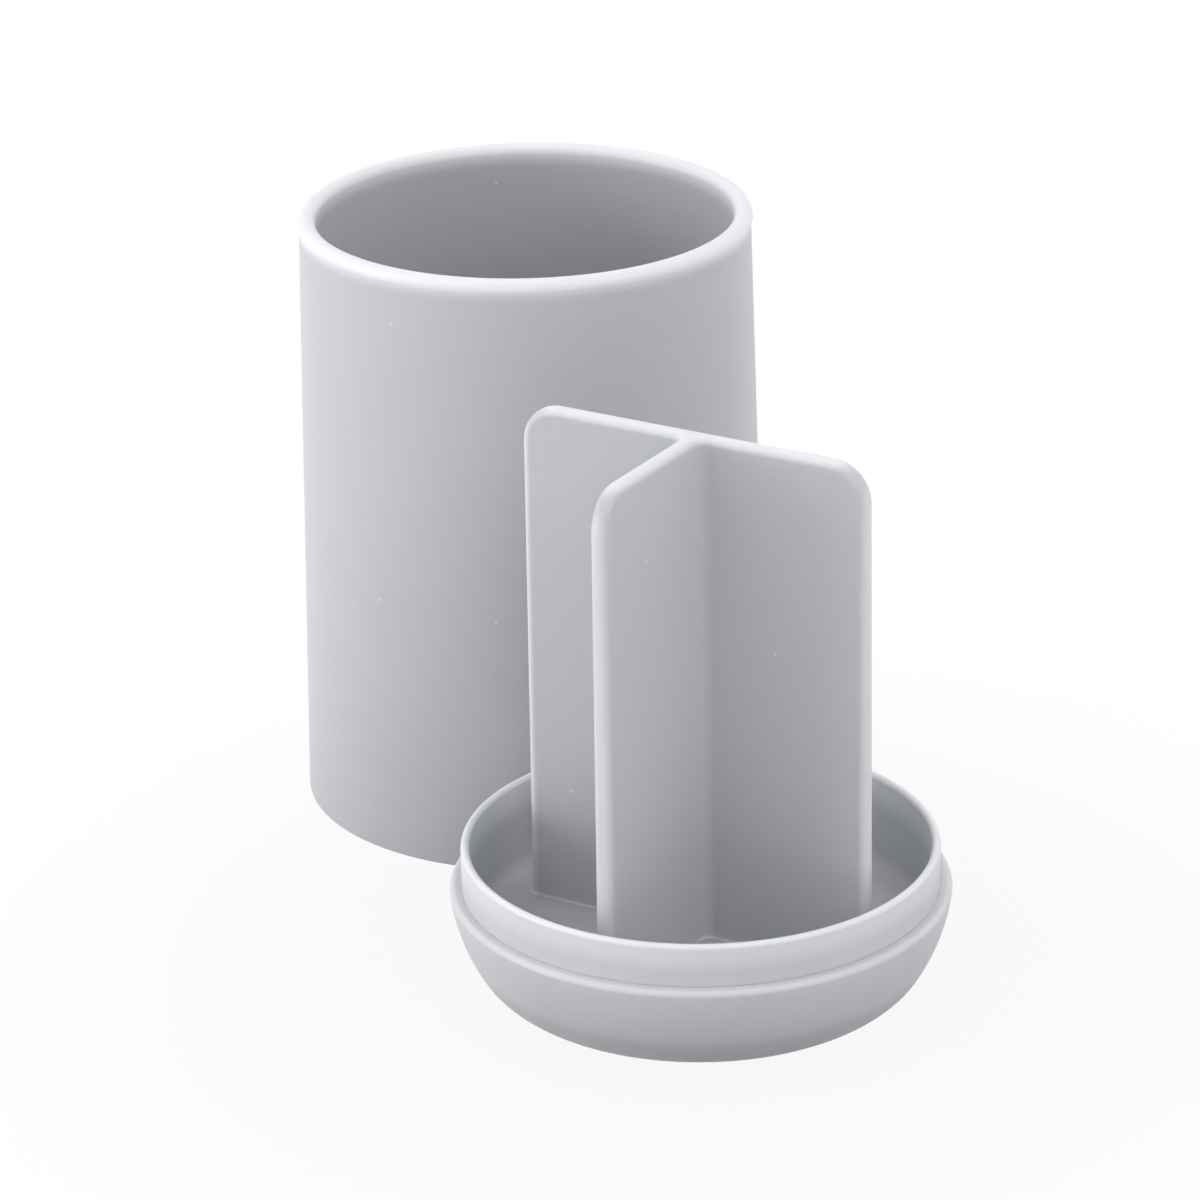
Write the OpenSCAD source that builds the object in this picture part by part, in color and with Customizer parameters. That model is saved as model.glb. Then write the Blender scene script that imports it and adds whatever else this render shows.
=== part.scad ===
// Toothbrush holder in millimetres: a rounded bowl with an upright divider, and the open sleeve
// that seats on the bowl's ledge, here taken off and standing beside it. The origin is the middle
// of the bowl's flat foot, and +Z is up.

/* [Bowl] */
// Radius of the bowl at its widest, just under the ledge
bowl_r = 38.6; // [34:0.2:50]
// Height of the ledge that carries the sleeve
ledge_z = 16.4; // [15:0.2:20]
// Radius of the curve of the bowl's side
side_r = 28.5; // [26:0.5:34]
// How far above the ledge the centre of that curve lies
side_rise = 2.55; // [0.5:0.05:5]
// Radius of the curve that turns the side into the flat foot
foot_round = 9; // [4:0.5:12]
// Radius of the ledge's outer edge
ledge_round = 0.85; // [0.3:0.05:1.2]
// Thickness of the floor
floor_t = 7.5; // [5:0.1:9]
// Radius of the corner between the floor and the wall inside
floor_fillet = 3; // [1.5:0.1:5]

/* [Collar] */
// Height of the collar above the ledge
collar_h = 6.7; // [4:0.1:12]
// Thickness of the collar
collar_wall = 1.33; // [1:0.01:2]
// Gap all round between the collar and the sleeve's bore
fit_clear = 0.1; // [0.05:0.01:0.3]

/* [Sleeve] */
// Height of the sleeve
sleeve_h = 100; // [60:1:130]
// Thickness of the sleeve's wall
sleeve_wall = 1.9; // [1.4:0.05:2.6]
// How far the sleeve's foot stands out past the bowl
sleeve_proud = 0.15; // [0:0.01:0.4]
// How much smaller the sleeve's radius is at the rim than at the foot
sleeve_draft = 2.2; // [0:0.1:4]
// Thickness of the round bead at the rim
rim_d = 3; // [2.8:0.05:4]
// How far the bead stands out past the wall
rim_proud = 0.38; // [0:0.01:0.6]
// How much deeper the straight bore is than the collar is high
bore_spare = 0.5; // [0.2:0.1:3]

/* [Divider] */
// Height of the divider above the bowl's floor
divider_h = 81.9; // [40:0.1:90]
// Thickness of the divider's wings
wing_t = 3; // [2.8:0.1:5]
// Reach of the left wing from the middle of the bowl
left_reach = 30; // [20:0.1:31]
// Reach of the right wing
right_reach = 29.4; // [20:0.1:31]
// Reach of the front wing
front_reach = 29.3; // [20:0.1:31]
// Turn of the right wing from the X axis, in degrees
divider_turn = -31.2; // [-180:0.1:180]
// Radius of the upper outer corner of a wing
wing_corner = 6.2; // [2:0.1:10]
// Radius of the edges along a wing's end and top
wing_edge = 1.3; // [0.5:0.05:1.35]
// Radius of the hollow corner where the front wing meets the others
wing_fillet = 2; // [0.5:0.1:4]
// Depth of the seat in the floor that holds the divider
seat_depth = 3; // [2:0.1:4]
// Gap all round the divider in its seat
seat_clear = 0.1; // [0.05:0.01:0.3]

/* [Layout] */
// Gap between the bowl and the sleeve where it stands beside it
stand_gap = 2.9; // [1:0.1:40]
// Direction of the sleeve from the bowl, in degrees from the X axis
stand_angle = 108.6; // [60:0.1:120]

/* [Hidden] */
$fn = 96;
// Straight steps in each arc of an outline
arc_steps = 10;
// Facets of a full circle in the divider's round edges
round_facets = 32;
// Overrun of a cut past the face that it opens
over = 1;
grey = [0.79, 0.80, 0.83];
light_grey = [0.83, 0.84, 0.87];

// Sleeve radii: the foot, the bore that slips over the collar, and the wall under the bead
sleeve_foot_r = bowl_r + sleeve_proud;
bore_r = sleeve_foot_r - sleeve_wall;
bore_h = collar_h + bore_spare;
sleeve_top_r = sleeve_foot_r - sleeve_draft;
rim_r = rim_d / 2;
rim_z = sleeve_h - rim_r;
rim_mid_r = sleeve_top_r + rim_proud - rim_r;

// Collar and the hollow of the bowl
collar_r = bore_r - fit_clear;
hollow_r = collar_r - collar_wall;
collar_top_z = ledge_z + collar_h;
collar_round = collar_wall / 2;

// Centres of the ledge's rounded edge and of the side curve, which meet smoothly at edge_angle
// below the horizontal
edge_mid_r = bowl_r - ledge_round;
edge_mid_z = ledge_z - ledge_round;
side_z = ledge_z + side_rise;
edge_angle = asin((side_z - edge_mid_z) / (side_r - ledge_round));
side_mid_r = edge_mid_r - (side_r - ledge_round) * cos(edge_angle);

// Centre of the foot curve, which meets the side curve smoothly at foot_angle below the horizontal
foot_angle = asin((side_z - foot_round) / (side_r - foot_round));
foot_mid_r = side_mid_r + (side_r - foot_round) * cos(foot_angle);

// Divider heights
seat_z = floor_t - seat_depth;
divider_top_z = floor_t + divider_h;
corner_z = divider_top_z - wing_corner;

// Turn and reach of each wing
wings = [
    [divider_turn, right_reach],
    [divider_turn + 180, left_reach],
    [divider_turn - 90, front_reach]
];

// The sleeve stands clear of the bowl on the same surface
stand_r = bowl_r + stand_gap + sleeve_foot_r;
sleeve_at = [stand_r * cos(stand_angle), stand_r * sin(stand_angle), 0];

// Half section of the sleeve: a wall with draft, a straight bore at its foot and a round bead
module sleeve_section() {
    polygon([
        [bore_r, 0],
        [sleeve_foot_r, 0],
        [sleeve_top_r, rim_z],
        [sleeve_top_r - sleeve_wall, rim_z],
        [bore_r, bore_h]
    ]);
    translate([rim_mid_r, rim_z]) circle(r = rim_r);
}

// Points of an arc about mid, without its first point, which ends the stretch before it
function arc(mid, radius, from, to) = [
    for (step = [1:arc_steps])
        let (angle = from + (to - from) * step / arc_steps) mid + radius * [cos(angle), sin(angle)]
];

// Half section of the bowl: up the outside, over the ledge and the collar, and down the hollow
module bowl_section() {
    polygon(concat(
        [[0, 0], [foot_mid_r, 0]],
        arc([foot_mid_r, foot_round], foot_round, -90, -foot_angle),
        arc([side_mid_r, side_z], side_r, -foot_angle, -edge_angle),
        arc([edge_mid_r, edge_mid_z], ledge_round, -edge_angle, 90),
        [[collar_r, ledge_z], [collar_r, collar_top_z - collar_round]],
        arc([collar_r - collar_round, collar_top_z - collar_round], collar_round, 0, 180),
        [[hollow_r, floor_t + floor_fillet]],
        arc([hollow_r - floor_fillet, floor_t + floor_fillet], floor_fillet, 0, -90),
        [[0, floor_t]]
    ));
}

// Flat shape that starts square at the left and ends with two round corners
module rounded_end(length, width, round_r) {
    translate([0, -width / 2]) square([length - round_r, width]);
    translate([0, round_r - width / 2]) square([length, width - 2 * round_r]);
    for (side = [-1, 1]) {
        translate([length - round_r, side * (width / 2 - round_r)]) circle(r = round_r);
    }
}

// Seat in the floor: the divider's plan, wider all round by the clearance
module divider_seat() {
    translate([0, 0, seat_z]) linear_extrude(seat_depth + over) {
        for (wing = wings) {
            rotate(wing[0]) rounded_end(wing[1] + seat_clear, wing_t + 2 * seat_clear, wing_edge + seat_clear);
        }
    }
}

// Outer end of an upright wing along +X, with round edges up its end and round its upper corner
module wing_end(reach) {
    $fn = round_facets;
    translate([reach - wing_corner, 0, seat_z]) {
        linear_extrude(corner_z - seat_z) rounded_end(wing_corner, wing_t, wing_edge);
    }
    translate([reach - wing_corner, 0, corner_z]) {
        rotate([90, 0, 0]) rotate_extrude(angle = 90) rounded_end(wing_corner, wing_t, wing_edge);
    }
}

// Inner end of the front wing, buried in the long wall
module wing_root() {
    $fn = round_facets;
    translate([0, 0, seat_z]) rotate([0, -90, 0]) {
        linear_extrude(wing_edge) rounded_end(divider_top_z - seat_z, wing_t, wing_edge);
    }
}

// Upright fillet in the hollow corner between two wings, from the floor to the round of the tops
module wing_corner_fillet() {
    translate([wing_t / 2, wing_t / 2, floor_t]) {
        linear_extrude(divider_h - wing_edge) polygon(concat(
            [[-wing_edge, wing_fillet], [-wing_edge, -wing_edge], [wing_fillet, -wing_edge], [wing_fillet, 0]],
            arc([wing_fillet, wing_fillet], wing_fillet, -90, -180)
        ));
    }
}

// Open sleeve that slips over the collar and stands on the ledge
module sleeve() {
    color(grey) translate(sleeve_at) rotate_extrude() sleeve_section();
}

// Bowl with its flat foot, ledge, collar and the seat for the divider
module bowl() {
    color(light_grey) difference() {
        rotate_extrude() bowl_section();
        divider_seat();
    }
}

// Divider that stands in the bowl: a long wall of two wings, and the front wing that meets it
module divider() {
    color(light_grey) rotate(divider_turn) {
        hull() {
            wing_end(right_reach);
            mirror([1, 0, 0]) wing_end(left_reach);
        }
        rotate(-90) hull() {
            wing_root();
            wing_end(front_reach);
        }
        rotate(-90) wing_corner_fillet();
        rotate(-180) wing_corner_fillet();
    }
}

sleeve();
bowl();
divider();
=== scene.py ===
"""Toothbrush holder in pale satin plastic: a rounded bowl with an upright divider of three wings,
and the open sleeve that seats on the bowl's ledge, here taken off and standing behind it.
All lengths are in metres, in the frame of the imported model."""
import math

import bmesh
import bpy
from mathutils import Matrix, Vector


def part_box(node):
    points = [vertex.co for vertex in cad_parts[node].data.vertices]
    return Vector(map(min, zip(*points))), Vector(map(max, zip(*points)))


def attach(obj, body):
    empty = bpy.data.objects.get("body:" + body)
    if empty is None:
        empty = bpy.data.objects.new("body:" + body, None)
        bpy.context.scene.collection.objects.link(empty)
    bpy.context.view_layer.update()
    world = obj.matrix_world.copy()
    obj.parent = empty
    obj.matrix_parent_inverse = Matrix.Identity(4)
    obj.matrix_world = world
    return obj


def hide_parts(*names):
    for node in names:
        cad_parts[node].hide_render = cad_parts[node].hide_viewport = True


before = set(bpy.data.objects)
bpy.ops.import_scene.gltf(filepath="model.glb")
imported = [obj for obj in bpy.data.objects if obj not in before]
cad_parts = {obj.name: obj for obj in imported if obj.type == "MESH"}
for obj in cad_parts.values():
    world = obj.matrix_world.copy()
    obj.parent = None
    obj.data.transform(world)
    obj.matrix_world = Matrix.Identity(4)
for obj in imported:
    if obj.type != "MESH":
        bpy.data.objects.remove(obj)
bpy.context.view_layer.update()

SLEEVE_LOW, SLEEVE_HIGH = (Vector(corner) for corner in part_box("sleeve"))
BOWL_LOW, BOWL_HIGH = (Vector(corner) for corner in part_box("bowl"))
DIVIDER_HIGH = Vector(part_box("divider")[1])

bl_info = {
    "name": "Toothbrush Holder",
    "version": (1, 0, 0),
    "blender": (4, 5, 0),
    "location": "3D View > Sidebar > Holder",
    "description": "Models a bathroom toothbrush holder with a lift-off sleeve and a divider",
    "category": "Add Mesh",
}

MM = 0.001
# Side of the plane that is merged into a section's first point
SEED = 1 * MM
# Points closer than this are one
WELD = 0.002 * MM
# Steps of a full turn, of an arc and of the sleeve's foot edges
TURN_STEPS = 192
ARC_STEPS = 14
EDGE_STEPS = 4
# Steps of the divider's rounds, and of the hollow round at its foot
ROUND_STEPS = 8
HOLLOW_STEPS = 6
# Faces that meet at more than this angle keep a crisp edge
CRISP_ANGLE = math.radians(32)
# Faces of the divider that meet at more than the first angle get a round edge, and those that meet
# at less than the second become one face
SQUARE_ANGLE = math.radians(60)
FLAT_ANGLE = math.radians(1)

# Plastic: how much it bends light, how far light spreads in it, and how much its tone and its
# roughness change from place to place
PLASTIC_IOR = 1.49
LIGHT_SPREAD = 1 * MM
TONE_CHANGE = 0.03
ROUGHNESS_CHANGE = 0.05
# Its cloudiness, slow waviness and fine grain, each by scale and detail
CLOUDS = (42.0, 4.0)
WAVES = (70.0, 1.0)
GRAIN = (2600.0, 2.0)
# Specks: the scale of the cells that hold them, where a speck begins and is full on the way to the
# middle of its cell, and the share of cells that have none
SPECK_SCALE = 260.0
SPECK_BEGIN, SPECK_FULL = 0.09, 0.02
SPECK_FREE = 0.85
# Relief of each pattern, by strength and height
GRAIN_RELIEF = (0.12, 0.02 * MM)
WAVE_RELIEF = (0.25, 0.06 * MM)
SPECK_RELIEF = (0.4, 0.15 * MM)

# Painted light: thin edges and tops get a lighter colour that stands in for light glowing through
# thin plastic and for highlights, and the bowl's outside is lighter than its inside, which stays
# darker as painted shade. Each stretch begins and ends at a distance from the place that is named
# before it, and the third value is how light it gets, from nought to one
# Sleeve's top
RIM_PAINTED_LIGHT = (-3.8 * MM, -1.4 * MM, 1.0)
# Ledge
COLLAR_PAINTED_LIGHT = (0.0, 4.8 * MM, 0.85)
# Collar's outside
OUTSIDE_PAINTED_LIGHT = (-1.63 * MM, -0.2 * MM, 0.4)
# Divider's top
TOP_PAINTED_LIGHT = (-1.6 * MM, 0.3 * MM, 1.0)
# Right wing's reach
END_PAINTED_LIGHT = (-1.4 * MM, -0.1 * MM, 0.6)
# Upright axis, far past every piece, where no light is painted
NO_PAINTED_LIGHT = (1.0, 2.0, 1.0)
# Heights above the floor between which light begins to go through the divider's foot
FOOT_STRETCH = (0.6 * MM, 1.8 * MM)

# Floor: its side, how far it lies under the object, and where it turns plain white
FLOOR_SIDE = 8.0
FLOOR_DROP = 0.05 * MM
FLOOR_FADE = (0.05, 0.17)
# Its grey, darker near the object as painted shade that throws less light back up, and the share of
# it that shows plain white, each near the object and further out
FLOOR_PAINTED_SHADE_GREYS = (0.36, 0.95)
FLOOR_WHITE = (0.92, 1.0)

# Lamps: their side, the place at which they point and their distance from it
LAMP_SIDE = 0.6
LAMP_AIM = Vector((0, 0.03, 0.04))
LAMP_DISTANCE = 1.2
# Each lamp's turn from the front to the left and its rise, in degrees
LAMPS = {
    "left": (80, 8),
    "left_high": (70, 45),
    "right": (-45, 32),
    "front": (-20, 45),
    "back": (180, 75),
}

# Camera: its place, how far it looks down, its roll, its sensor's width and the range that it sees
CAMERA_PLACE = (-14.65 * MM, -662.3 * MM, 339 * MM)
CAMERA_PITCH = 0.395
CAMERA_ROLL = 0.01925
SENSOR_WIDTH = 36.0
CLIP_START, CLIP_END = 0.01, 100.0


def length(name, description, default):
    """A distance property in the scene's own unit."""
    return bpy.props.FloatProperty(
        name=name,
        description=description,
        default=default,
        min=0.0,
        subtype="DISTANCE",
        unit="LENGTH",
    )


def level(name, description, default):
    """A brightness property."""
    return bpy.props.FloatProperty(name=name, description=description, default=default, min=0.0)


def colour(name, description, default):
    """A colour property."""
    return bpy.props.FloatVectorProperty(
        name=name, description=description, default=default, min=0.0, max=1.0, subtype="COLOR"
    )


def group(kind, name, description):
    """A property that holds a group of settings."""
    return bpy.props.PointerProperty(type=kind, name=name, description=description)


class SleeveSettings(bpy.types.PropertyGroup):
    """Sizes of the open sleeve."""

    foot_radius: length(
        "Foot radius", "Outer radius at the foot", (SLEEVE_HIGH.x - SLEEVE_LOW.x) / 2
    )
    height: length("Height", "Height of the sleeve", SLEEVE_HIGH.z)
    wall: length("Wall", "Thickness of the wall", 1.9 * MM)
    draft: length("Draft", "How much smaller the radius is at the rim", 2.2 * MM)
    bead_radius: length("Bead radius", "Radius of the round bead at the rim", 1.5 * MM)
    bead_proud: length("Bead stands out", "How far the bead stands out past the wall", 0.3 * MM)
    bead_blend: length("Bead blend", "Radius of the hollow curve from the bead to the wall", 5 * MM)
    bore_depth: length("Bore depth", "Depth of the straight bore at the foot", 7.2 * MM)
    foot_edge: length("Foot edge", "Radius of the foot's two edges", 0.2 * MM)


class BowlSettings(bpy.types.PropertyGroup):
    """Sizes of the bowl and its collar."""

    radius: length("Radius", "Radius of the bowl under its ledge", (BOWL_HIGH.x - BOWL_LOW.x) / 2)
    ledge: length("Ledge", "Height of the ledge", 16.4 * MM)
    side_radius: length("Side radius", "Radius of the side's curve", 28.5 * MM)
    side_rise: length("Side rise", "Height of that curve's centre above the ledge", 2.55 * MM)
    foot_round: length("Foot round", "Radius of the curve from the side to the foot", 9 * MM)
    ledge_round: length("Ledge round", "Radius of the ledge's outer edge", 0.85 * MM)
    collar_radius: length("Collar radius", "Outer radius of the collar", 36.75 * MM)
    collar_top: length("Collar top", "Height of the collar's top", BOWL_HIGH.z)
    collar_wall: length("Collar wall", "Thickness of the collar", 1.33 * MM)
    floor: length("Floor", "Height of the floor inside", 7.5 * MM)
    floor_fillet: length("Floor fillet", "Radius of the corner round the floor", 3 * MM)


class DividerSettings(bpy.types.PropertyGroup):
    """Sizes of the divider and its turn."""

    left_reach: length("Left reach", "Reach of the left wing from the middle", 30 * MM)
    right_reach: length("Right reach", "Reach of the right wing", 29.4 * MM)
    front_reach: length("Front reach", "Reach of the front wing", 29.3 * MM)
    top: length("Top", "Height of the wings' top", DIVIDER_HIGH.z)
    thickness: length("Thickness", "Thickness of the wings at the foot", 3.2 * MM)
    draft: length("Draft", "How much thinner the wings are at the top", 0.5 * MM)
    corner: length("Corner", "Radius of each wing's upper outer corner", 6.2 * MM)
    edge: length("Edge", "Radius of the edges along the ends and tops", 1.3 * MM)
    fillet: length("Fillet", "Radius of the hollow corners between the wings", 2 * MM)
    foot_fillet: length("Foot fillet", "Radius of the hollow corner at the floor", 0.5 * MM)
    turn: bpy.props.FloatProperty(
        name="Turn",
        description="Turn of the right wing from the X axis",
        default=math.radians(-31.2),
        subtype="ANGLE",
        unit="ROTATION",
    )


class FinishSettings(bpy.types.PropertyGroup):
    """Colour and surface of the moulded plastic."""

    sleeve_colour: colour("Sleeve colour", "Colour of the sleeve's plastic", (0.497, 0.508, 0.54))
    bowl_colour: colour("Bowl colour", "Colour of the bowl's plastic", (0.5, 0.511, 0.541))
    divider_colour: colour(
        "Divider colour", "Colour of the divider's plastic", (0.5, 0.511, 0.541)
    )
    # Lighter colour that paints light on thin edges, tops and the bowl's outside, and that the pale
    # specks have too
    painted_light_and_speck_colour: colour(
        "Edge colour", "Colour of thin edges and specks, which look lighter", (0.71, 0.72, 0.745)
    )
    roughness: bpy.props.FloatProperty(
        name="Roughness",
        description="Mean roughness of the satin surface",
        default=0.42,
        min=0.0,
        max=1.0,
    )


class StageSettings(bpy.types.PropertyGroup):
    """Camera and light."""

    lens: bpy.props.FloatProperty(
        name="Lens",
        description="Focal length of the camera",
        default=143.6,
        min=1.0,
        unit="CAMERA",
    )
    ambient: level("Surround", "Level of the even light from all round", 0.82)
    left: level("Left", "Level of the low lamp on the left", 4.6)
    left_high: level("Left high", "Level of the high lamp on the left", 1.25)
    right: level("Right", "Level of the lamp on the right", 1.95)
    front: level("Front", "Level of the high lamp in front", 0.9)
    back: level("Back", "Level of the high lamp behind", 1.5)


class HolderSettings(bpy.types.PropertyGroup):
    """Everything that a user would change."""

    sleeve: group(SleeveSettings, "Sleeve", "Sizes of the open sleeve")
    bowl: group(BowlSettings, "Bowl", "Sizes of the bowl and its collar")
    divider: group(DividerSettings, "Divider", "Sizes of the divider and its turn")
    finish: group(FinishSettings, "Finish", "Colour and surface of the moulded plastic")
    stage: group(StageSettings, "Stage", "Camera and light")


class Section:
    """A half section drawn in edit mode, stretch by stretch, and then turned about its axis.

    Places are given as (radius, height) from an upright axis."""

    def __init__(self, name, axis, start):
        self.axis = Vector((axis.x, axis.y, 0))
        self.at = Vector(start)
        first = self.axis + Vector((start[0], 0, start[1]))
        bpy.ops.object.select_all(action="DESELECT")
        bpy.ops.mesh.primitive_plane_add(size=SEED, location=first)
        self.piece = bpy.context.active_object
        self.piece.name = name
        bpy.ops.object.transform_apply(location=True, rotation=True, scale=True)
        bpy.ops.object.mode_set(mode="EDIT")
        bpy.ops.mesh.select_all(action="SELECT")
        bpy.ops.mesh.merge(type="CENTER")

    def line(self, radius, height):
        """Straight to a place."""
        step = Vector((radius, height)) - self.at
        extrude((step.x, 0, step.y))
        self.at = Vector((radius, height))

    def arc(self, mid, angle, steps=ARC_STEPS):
        """Round about a centre, by an angle that is positive from +radius towards +height."""
        centre = self.axis + Vector((mid[0], 0, mid[1]))
        bpy.ops.mesh.spin(steps=steps, angle=angle, center=centre, axis=(0, 1, 0))
        arm = self.at - Vector(mid)
        arm.rotate(Matrix.Rotation(angle, 2))
        self.at = Vector(mid) + arm

    def turn(self):
        """Turns the whole section once round its axis and closes the skin."""
        bpy.ops.mesh.select_all(action="SELECT")
        bpy.ops.mesh.spin(steps=TURN_STEPS, angle=math.tau, center=self.axis, axis=(0, 0, 1))
        bpy.ops.mesh.select_all(action="SELECT")
        bpy.ops.mesh.remove_doubles(threshold=WELD)
        bpy.ops.mesh.normals_make_consistent(inside=False)
        bpy.ops.object.mode_set(mode="OBJECT")
        return self.piece


def extrude(step):
    """Extrudes what is selected by a step."""
    bpy.ops.mesh.extrude_region_move(TRANSFORM_OT_translate={"value": step})


def pick(piece, kind, wanted):
    """Selects the verts, edges or faces of a piece that pass a test, and nothing else."""
    bpy.ops.mesh.select_mode(type={"verts": "VERT", "edges": "EDGE", "faces": "FACE"}[kind])
    bpy.ops.mesh.select_all(action="DESELECT")
    body = bmesh.from_edit_mesh(piece.data)
    for part in getattr(body, kind):
        if wanted(part):
            part.select_set(True)
    body.select_flush_mode()
    bmesh.update_edit_mesh(piece.data)


def at_all(part, axis, place):
    """Whether every corner of an edge or face lies at a place along an axis."""
    return all(abs(corner.co[axis] - place) < WELD for corner in part.verts)


def smooth(piece):
    """Soft shading with crisp edges kept, and flat faces that stay flat up to their rounds."""
    bpy.ops.object.select_all(action="DESELECT")
    piece.select_set(True)
    bpy.context.view_layer.objects.active = piece
    bpy.ops.object.shade_smooth_by_angle(angle=CRISP_ANGLE)
    weighted = piece.modifiers.new("Flat faces lead", "WEIGHTED_NORMAL")
    weighted.keep_sharp = True
    bpy.ops.object.modifier_apply(modifier=weighted.name)


def dress(piece, material, node, body):
    """Gives a piece its finish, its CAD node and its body."""
    smooth(piece)
    piece.data.materials.clear()
    piece.data.materials.append(material)
    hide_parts(node)
    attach(piece, body)


def link(tree, start, end):
    """Joins an output to an input, each given as (node, socket)."""
    tree.links.new(start[0].outputs[start[1]], end[0].inputs[end[1]])


def feed(tree, value, end):
    """Gives an input an output, which is a (node, socket) pair, or else a plain value."""
    if isinstance(value, tuple):
        link(tree, value, end)
    else:
        end[0].inputs[end[1]].default_value = value


def calculate(tree, operation, first, second):
    """Works on two numbers, each an output or a plain value."""
    node = tree.nodes.new("ShaderNodeMath")
    node.operation = operation
    feed(tree, first, (node, 0))
    feed(tree, second, (node, 1))
    return node, 0


def distance(tree, place):
    """How far a place is from the origin."""
    node = tree.nodes.new("ShaderNodeVectorMath")
    node.operation = "LENGTH"
    link(tree, place, (node, 0))
    return node, "Value"


def ramp(tree, value, start, end, most=1.0):
    """A smooth rise from nought to its most while a value goes from start to end."""
    node = tree.nodes.new("ShaderNodeMapRange")
    node.interpolation_type = "SMOOTHSTEP"
    node.inputs["From Min"].default_value = start
    node.inputs["From Max"].default_value = end
    node.inputs["To Max"].default_value = most
    link(tree, value, (node, "Value"))
    return node, "Result"


def between(tree, share, low, high):
    """A value that goes straight from low to high with its share."""
    node = tree.nodes.new("ShaderNodeMapRange")
    node.inputs["To Min"].default_value = low
    node.inputs["To Max"].default_value = high
    link(tree, share, (node, "Value"))
    return node, "Result"


def mix(tree, share, first, second):
    """A colour between two, each an output or a list with its opacity."""
    node = tree.nodes.new("ShaderNodeMix")
    node.data_type = "RGBA"
    link(tree, share, (node, "Factor"))
    feed(tree, first, (node, "A"))
    feed(tree, second, (node, "B"))
    return node, "Result"


def noise(tree, place, scale, detail):
    """A soft random pattern."""
    node = tree.nodes.new("ShaderNodeTexNoise")
    node.inputs["Scale"].default_value = scale
    node.inputs["Detail"].default_value = detail
    link(tree, place, (node, "Vector"))
    return node, "Fac"


def speckles(tree, place):
    """Small round spots, one near the middle of a few cells only."""
    cells = tree.nodes.new("ShaderNodeTexVoronoi")
    cells.inputs["Scale"].default_value = SPECK_SCALE
    link(tree, place, (cells, "Vector"))
    spot = ramp(tree, (cells, "Distance"), SPECK_BEGIN, SPECK_FULL)
    chance = tree.nodes.new("ShaderNodeSeparateColor")
    link(tree, (cells, "Color"), (chance, "Color"))
    chosen = calculate(tree, "GREATER_THAN", (chance, "Red"), SPECK_FREE)
    return calculate(tree, "MULTIPLY", spot, chosen)


def relief(tree, pattern, strength, height, under=None):
    """Raises the surface by a pattern, on top of the relief under it."""
    node = tree.nodes.new("ShaderNodeBump")
    node.inputs["Strength"].default_value = strength
    node.inputs["Distance"].default_value = height
    link(tree, pattern, (node, "Height"))
    if under:
        link(tree, under, (node, "Normal"))
    return node, "Normal"


def moved(stretch, place):
    """A stretch of values, moved from nought to a place."""
    begin, end, *most = stretch
    return place + begin, place + end, *most


def moulded_plastic(name, own_colour, finish, painted_light_heights, painted_light_radii, foot=None):
    """Satin plastic: faint cloudiness, painted light on thin edges and tops, sparse pale specks and
    a fine grain.

    The painted light lies in stretches up from the foot, and out from the upright axis. Where foot
    is given, no light goes through the plastic below its first height."""
    material = bpy.data.materials.new(name)
    material.use_nodes = True
    tree = material.node_tree
    skin = tree.nodes["Principled BSDF"]
    skin.inputs["IOR"].default_value = PLASTIC_IOR
    skin.inputs["Subsurface Weight"].default_value = 1.0
    skin.inputs["Subsurface Radius"].default_value = (1.0, 1.0, 1.0)
    skin.inputs["Subsurface Scale"].default_value = LIGHT_SPREAD

    place = (tree.nodes.new("ShaderNodeTexCoord"), "Object")
    parts = tree.nodes.new("ShaderNodeSeparateXYZ")
    link(tree, place, (parts, "Vector"))
    height = (parts, "Z")
    flat = tree.nodes.new("ShaderNodeVectorMath")
    flat.operation = "MULTIPLY"
    flat.inputs[1].default_value = (1.0, 1.0, 0.0)
    link(tree, place, (flat, 0))
    radius = distance(tree, (flat, "Vector"))
    if foot:
        link(tree, ramp(tree, height, *foot), (skin, "Subsurface Weight"))

    clouds = noise(tree, place, *CLOUDS)
    tones = (
        [channel * change for channel in own_colour] + [1.0]
        for change in (1 - TONE_CHANGE, 1 + TONE_CHANGE)
    )
    tone = mix(tree, clouds, *tones)
    # Painted light: thin edges, tops and the bowl's outside are mixed towards a lighter colour,
    # standing in for light glowing through thin plastic and for highlights, and the bowl's inside
    # stays darker as painted shade
    thin = calculate(tree, "MAXIMUM", ramp(tree, height, *painted_light_heights), ramp(tree, radius, *painted_light_radii))
    specks = speckles(tree, place)
    light = [*finish.painted_light_and_speck_colour, 1.0]
    painted_light_tone = mix(tree, thin, tone, light)
    link(tree, mix(tree, specks, painted_light_tone, light), (skin, "Base Color"))

    smoothest = finish.roughness - ROUGHNESS_CHANGE
    roughest = finish.roughness + ROUGHNESS_CHANGE
    link(tree, between(tree, clouds, smoothest, roughest), (skin, "Roughness"))

    fine = relief(tree, noise(tree, place, *GRAIN), *GRAIN_RELIEF)
    slow = relief(tree, noise(tree, place, *WAVES), *WAVE_RELIEF, fine)
    link(tree, relief(tree, specks, *SPECK_RELIEF, slow), (skin, "Normal"))
    return material


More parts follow.
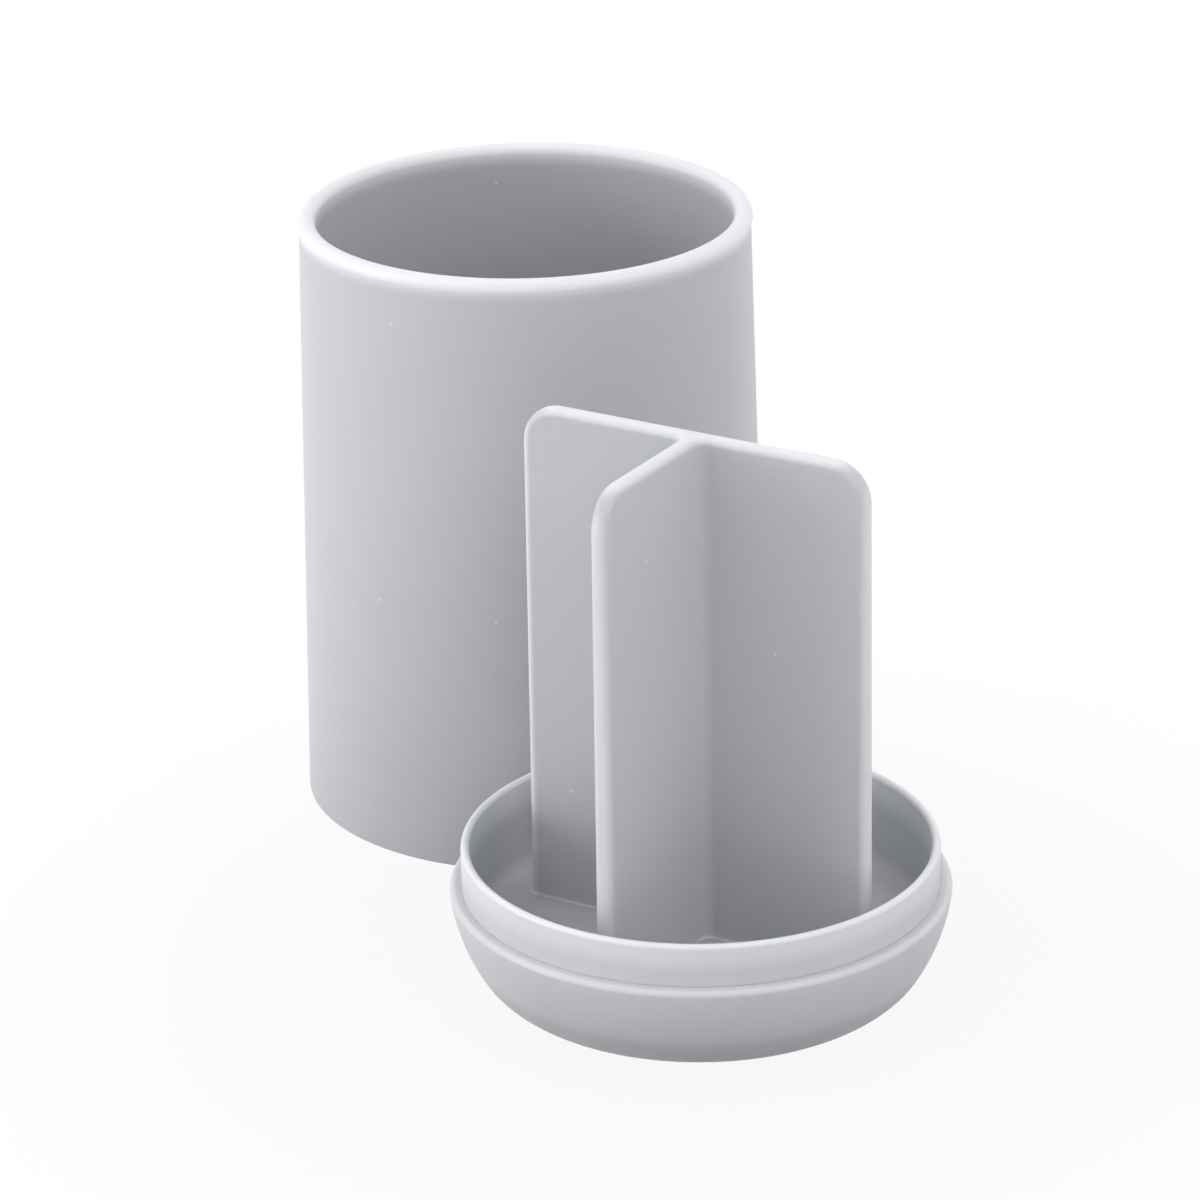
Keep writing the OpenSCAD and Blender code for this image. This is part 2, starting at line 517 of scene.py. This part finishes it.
class HOLDER_OT_sleeve(bpy.types.Operator):
    """Model the open sleeve with its drafted wall and round rim"""

    bl_idname = "holder.sleeve"
    bl_label = "Sleeve"

    def execute(self, context):
        size = context.scene.holder.sleeve
        finish = context.scene.holder.finish
        edge = size.foot_edge
        bead_z = size.height - size.bead_radius
        top_radius = size.foot_radius - size.draft
        bead_mid = Vector((top_radius + size.bead_proud - size.bead_radius, bead_z))
        bore = Vector((size.foot_radius - size.wall, size.bore_depth))

        # The wall leans in, so its outward direction is tilted up by lean
        lean = math.atan2(size.draft, bead_z)
        out = Vector((math.cos(lean), math.sin(lean)))
        depth = (Vector((top_radius, bead_z)) - bead_mid).dot(out)

        # The hollow curve touches both the bead and the wall
        arm = size.bead_radius + size.bead_blend
        swing = math.acos((depth + size.bead_blend) / arm)
        blend_mid = bead_mid + arm * Vector((math.cos(lean - swing), math.sin(lean - swing)))
        wall_end = blend_mid - size.bead_blend * out

        # The inner wall runs from the bore to where it just touches the bead
        fall = bore - bead_mid
        to_bore = math.atan2(fall.y, fall.x)
        inner = to_bore - math.acos(size.bead_radius / fall.length) + math.tau

        middle = (SLEEVE_LOW + SLEEVE_HIGH) / 2
        section = Section("sleeve_moulding", middle, (size.foot_radius - edge, 0))
        section.arc((size.foot_radius - edge, edge), math.pi / 2, EDGE_STEPS)
        section.line(*wall_end)
        section.arc(blend_mid, -swing)
        section.arc(bead_mid, inner - lean + swing, 2 * ARC_STEPS)
        section.line(*bore)
        section.line(bore.x, edge)
        section.arc((bore.x + edge, edge), math.pi / 2, EDGE_STEPS)
        section.line(size.foot_radius - edge, 0)
        piece = section.turn()

        # Painted highlight: the sleeve gets lighter towards its rim
        rim = moved(RIM_PAINTED_LIGHT, size.height)
        plastic = moulded_plastic("sleeve_plastic", finish.sleeve_colour, finish, rim, NO_PAINTED_LIGHT)
        dress(piece, plastic, "sleeve", "sleeve")
        return {"FINISHED"}


class HOLDER_OT_bowl(bpy.types.Operator):
    """Model the bowl with its foot, ledge, collar and floor"""

    bl_idname = "holder.bowl"
    bl_label = "Bowl"

    def execute(self, context):
        size = context.scene.holder.bowl
        finish = context.scene.holder.finish

        # The ledge's edge, the side and the foot's round meet smoothly, at angles below level
        edge_mid = (size.radius - size.ledge_round, size.ledge - size.ledge_round)
        side_z = size.ledge + size.side_rise
        side_arm = size.side_radius - size.ledge_round
        edge_angle = math.asin((side_z - edge_mid[1]) / side_arm)
        side_mid = (edge_mid[0] - side_arm * math.cos(edge_angle), side_z)
        foot_arm = size.side_radius - size.foot_round
        foot_angle = math.asin((side_z - size.foot_round) / foot_arm)
        foot_mid = (side_mid[0] + foot_arm * math.cos(foot_angle), size.foot_round)

        collar_round = size.collar_wall / 2
        collar_mid = (size.collar_radius - collar_round, size.collar_top - collar_round)
        hollow = size.collar_radius - size.collar_wall
        fillet_mid = (hollow - size.floor_fillet, size.floor + size.floor_fillet)

        section = Section("bowl_moulding", Vector((0, 0, 0)), (0, 0))
        section.line(foot_mid[0], 0)
        section.arc(foot_mid, math.pi / 2 - foot_angle)
        section.arc(side_mid, foot_angle - edge_angle)
        section.arc(edge_mid, math.pi / 2 + edge_angle)
        section.line(size.collar_radius, size.ledge)
        section.line(size.collar_radius, collar_mid[1])
        section.arc(collar_mid, math.pi)
        section.line(hollow, fillet_mid[1])
        section.arc(fillet_mid, -math.pi / 2)
        section.line(0, size.floor)
        piece = section.turn()

        # Painted light: the collar gets lighter up from the ledge, and the bowl's outside lighter
        # than its inside, which stays darker as painted shade
        collar = moved(COLLAR_PAINTED_LIGHT, size.ledge)
        outside = moved(OUTSIDE_PAINTED_LIGHT, size.collar_radius)
        plastic = moulded_plastic("bowl_plastic", finish.bowl_colour, finish, collar, outside)
        dress(piece, plastic, "bowl", "base")
        return {"FINISHED"}


def wing_block(size, foot):
    """The divider with square edges, its right wing along +X and its front wing along -Y."""
    half = size.thickness / 2
    bpy.ops.object.select_all(action="DESELECT")
    bpy.ops.mesh.primitive_cube_add(
        size=1,
        location=((size.right_reach - size.left_reach) / 2, 0, (size.top + foot) / 2),
        scale=(size.left_reach + size.right_reach, size.thickness, size.top - foot),
    )
    piece = bpy.context.active_object
    piece.name = "divider_moulding"
    bpy.ops.object.transform_apply(location=True, rotation=True, scale=True)
    bpy.ops.object.mode_set(mode="EDIT")
    for side in (-half, half):
        bpy.ops.mesh.select_all(action="SELECT")
        bpy.ops.mesh.bisect(plane_co=(side, 0, 0), plane_no=(1, 0, 0))

    def front_middle(face):
        return at_all(face, 1, -half) and abs(face.calc_center_median().x) < half / 2

    pick(piece, "faces", front_middle)
    extrude((0, half - size.front_reach, 0))
    bpy.ops.mesh.select_all(action="SELECT")
    bpy.ops.mesh.dissolve_limited(angle_limit=FLAT_ANGLE)
    return piece


def round_wings(piece, size, foot):
    """Rounds the upper corners, the hollow corners between wings and all edges but the foot's."""
    half = size.thickness / 2
    ends = ((0, size.right_reach), (0, -size.left_reach), (1, -size.front_reach))

    def top_end(edge):
        return at_all(edge, 2, size.top) and any(at_all(edge, *end) for end in ends)

    def hollow_corner(edge):
        return at_all(edge, 1, -half) and (at_all(edge, 0, half) or at_all(edge, 0, -half))

    def square_edge(edge):
        return edge.calc_face_angle(0.0) > SQUARE_ANGLE and not at_all(edge, 2, foot)

    for wanted, radius, steps in (
        (top_end, size.corner, ARC_STEPS),
        (hollow_corner, size.fillet, ROUND_STEPS),
        (square_edge, size.edge, ROUND_STEPS),
    ):
        pick(piece, "edges", wanted)
        bpy.ops.mesh.bevel(offset=radius, segments=steps, affect="EDGES")


def spread_foot(piece, radius, foot):
    """Takes the foot down to the floor in a hollow round, and closes it."""
    pick(piece, "faces", lambda face: at_all(face, 2, foot))
    bpy.ops.mesh.delete(type="ONLY_FACE")
    bpy.ops.mesh.select_mode(type="EDGE")
    bpy.ops.mesh.select_all(action="DESELECT")
    bpy.ops.mesh.select_non_manifold()
    for step in range(HOLLOW_STEPS):
        before, after = (math.pi / 2 * (step + end) / HOLLOW_STEPS for end in (0, 1))
        extrude((0, 0, radius * (math.sin(before) - math.sin(after))))
        spread = radius * (math.cos(before) - math.cos(after))
        bpy.ops.transform.shrink_fatten(value=spread, use_even_offset=True)
    bpy.ops.mesh.edge_face_add()
    bpy.ops.mesh.select_all(action="SELECT")
    bpy.ops.mesh.normals_make_consistent(inside=False)


def lean_in(piece, draft, middle):
    """Makes the wings thinner towards the top by moving the upper end of each upright side in."""
    for axis, side in ((0, -1), (0, 1), (1, -1), (1, 1)):
        pick(
            piece,
            "verts",
            lambda corner: corner.co.z > middle and side * corner.co[axis] > WELD,
        )
        inward = [0, 0, 0]
        inward[axis] = -side * draft / 2
        bpy.ops.transform.translate(value=inward)


class HOLDER_OT_divider(bpy.types.Operator):
    """Model the divider: a long wall, the front wing that meets it, and their rounds"""

    bl_idname = "holder.divider"
    bl_label = "Divider"

    def execute(self, context):
        size = context.scene.holder.divider
        finish = context.scene.holder.finish
        floor = context.scene.holder.bowl.floor
        foot = floor + size.foot_fillet

        piece = wing_block(size, foot)
        round_wings(piece, size, foot)
        spread_foot(piece, size.foot_fillet, foot)
        lean_in(piece, size.draft, (foot + size.top) / 2)
        bpy.ops.object.mode_set(mode="OBJECT")
        piece.rotation_euler.z = size.turn
        bpy.ops.object.transform_apply(location=True, rotation=True, scale=True)

        # Painted light: the wings get lighter at their tops and at their ends
        plastic = moulded_plastic(
            "divider_plastic",
            finish.divider_colour,
            finish,
            moved(TOP_PAINTED_LIGHT, size.top),
            moved(END_PAINTED_LIGHT, size.right_reach),
            moved(FOOT_STRETCH, floor),
        )
        dress(piece, plastic, "divider", "base")
        return {"FINISHED"}


def soft_box(name, turn, rise, brightness):
    """A square lamp that points at the object, at a brightness for each unit of area."""
    way = Vector(
        (-math.sin(turn) * math.cos(rise), -math.cos(turn) * math.cos(rise), math.sin(rise))
    )
    place = LAMP_AIM + LAMP_DISTANCE * way
    look = LAMP_AIM - place
    bpy.ops.object.light_add(
        type="AREA", location=place, rotation=look.to_track_quat("-Z", "Y").to_euler()
    )
    lamp = bpy.context.active_object
    lamp.name = name
    lamp.data.shape = "RECTANGLE"
    lamp.data.size = LAMP_SIDE
    lamp.data.size_y = LAMP_SIDE
    lamp.data.energy = brightness * math.pi * LAMP_SIDE * LAMP_SIDE


def seen_directly(tree):
    """One for rays that show a surface as it is: the camera's, mirrored and passed on ones."""
    path = tree.nodes.new("ShaderNodeLightPath")
    shown = calculate(tree, "MAXIMUM", (path, "Is Camera Ray"), (path, "Is Glossy Ray"))
    return calculate(tree, "MAXIMUM", shown, (path, "Is Transmission Ray"))


def white_surround(ambient):
    """A white world to look at, which lights the object at a lower, even level."""
    world = bpy.data.worlds.new("Surround")
    bpy.context.scene.world = world
    world.use_nodes = True
    tree = world.node_tree
    even = tree.nodes["Background"]
    even.inputs["Color"].default_value = (1.0, 1.0, 1.0, 1.0)
    even.inputs["Strength"].default_value = ambient
    white = tree.nodes.new("ShaderNodeBackground")
    white.inputs["Color"].default_value = (1.0, 1.0, 1.0, 1.0)
    white.inputs["Strength"].default_value = 1.0
    choose = tree.nodes.new("ShaderNodeMixShader")
    link(tree, seen_directly(tree), (choose, "Fac"))
    link(tree, (even, "Background"), (choose, 1))
    link(tree, (white, "Background"), (choose, 2))
    link(tree, (choose, "Shader"), (tree.nodes["World Output"], "Surface"))


def pale_floor():
    """White matt floor that keeps the object's shadow and fades to plain white further out. Its
    grey is darker near the object as painted shade, so that it throws less light back up.
    """
    bpy.ops.object.select_all(action="DESELECT")
    bpy.ops.mesh.primitive_plane_add(size=FLOOR_SIDE, location=(0, 0, -FLOOR_DROP))
    floor = bpy.context.active_object
    floor.name = "floor"
    material = bpy.data.materials.new("floor_white")
    material.use_nodes = True
    tree = material.node_tree
    tree.nodes.remove(tree.nodes["Principled BSDF"])
    place = (tree.nodes.new("ShaderNodeTexCoord"), "Object")
    away = ramp(tree, distance(tree, place), *FLOOR_FADE)
    # Painted shade: the floor's grey is darker near the object than further out
    near, far = ([grey, grey, grey, 1.0] for grey in FLOOR_PAINTED_SHADE_GREYS)
    matt = tree.nodes.new("ShaderNodeBsdfDiffuse")
    link(tree, mix(tree, away, near, far), (matt, "Color"))
    white = tree.nodes.new("ShaderNodeEmission")
    white.inputs["Strength"].default_value = 1.0
    share = between(tree, away, *FLOOR_WHITE)
    lift = tree.nodes.new("ShaderNodeMixShader")
    link(tree, calculate(tree, "MULTIPLY", seen_directly(tree), share), (lift, "Fac"))
    link(tree, (matt, "BSDF"), (lift, 1))
    link(tree, (white, "Emission"), (lift, 2))
    link(tree, (lift, "Shader"), (tree.nodes["Material Output"], "Surface"))
    floor.data.materials.append(material)


def photo_camera(lens):
    """The camera at the photograph's angle."""
    down = Matrix.Rotation(math.pi / 2 - CAMERA_PITCH, 3, "X")
    turned = down @ Matrix.Rotation(-CAMERA_ROLL, 3, "Z")
    bpy.ops.object.camera_add(location=CAMERA_PLACE, rotation=turned.to_euler())
    camera = bpy.context.active_object
    camera.data.lens = lens
    camera.data.sensor_width = SENSOR_WIDTH
    camera.data.clip_start = CLIP_START
    camera.data.clip_end = CLIP_END
    bpy.context.scene.camera = camera


class HOLDER_OT_stage(bpy.types.Operator):
    """Add the floor, the surround, the lamps and the camera"""

    bl_idname = "holder.stage"
    bl_label = "Stage"

    def execute(self, context):
        stage = context.scene.holder.stage
        pale_floor()
        white_surround(stage.ambient)
        for name, (turn, rise) in LAMPS.items():
            brightness = getattr(stage, name)
            soft_box(name + "_light", math.radians(turn), math.radians(rise), brightness)
        photo_camera(stage.lens)
        context.scene.view_settings.view_transform = "Standard"
        return {"FINISHED"}


class HOLDER_PT_sidebar(bpy.types.Panel):
    """Lists the pieces, their finish and the stage"""

    bl_idname = "HOLDER_PT_sidebar"
    bl_label = "Toothbrush Holder"
    bl_space_type = "VIEW_3D"
    bl_region_type = "UI"
    bl_category = "Holder"

    def draw(self, context):
        holder = context.scene.holder
        for settings, operator in (
            (holder.sleeve, HOLDER_OT_sleeve),
            (holder.bowl, HOLDER_OT_bowl),
            (holder.divider, HOLDER_OT_divider),
            (holder.finish, None),
            (holder.stage, HOLDER_OT_stage),
        ):
            box = self.layout.box()
            for name in settings.bl_rna.properties.keys():
                if name not in {"rna_type", "name"}:
                    box.prop(settings, name)
            if operator:
                box.operator(operator.bl_idname)


CLASSES = (
    SleeveSettings,
    BowlSettings,
    DividerSettings,
    FinishSettings,
    StageSettings,
    HolderSettings,
    HOLDER_OT_sleeve,
    HOLDER_OT_bowl,
    HOLDER_OT_divider,
    HOLDER_OT_stage,
    HOLDER_PT_sidebar,
)


def register():
    """Adds the classes and the scene's settings."""
    for kind in CLASSES:
        bpy.utils.register_class(kind)
    bpy.types.Scene.holder = group(
        HolderSettings, "Toothbrush holder", "Sizes, finish, light and camera of the holder"
    )


def unregister():
    """Takes the settings and the classes away again."""
    del bpy.types.Scene.holder
    for kind in reversed(CLASSES):
        bpy.utils.unregister_class(kind)


def main():
    """Builds the whole scene."""
    register()
    bpy.ops.holder.stage()
    bpy.ops.holder.sleeve()
    bpy.ops.holder.bowl()
    bpy.ops.holder.divider()


if __name__ == "__main__":
    main()
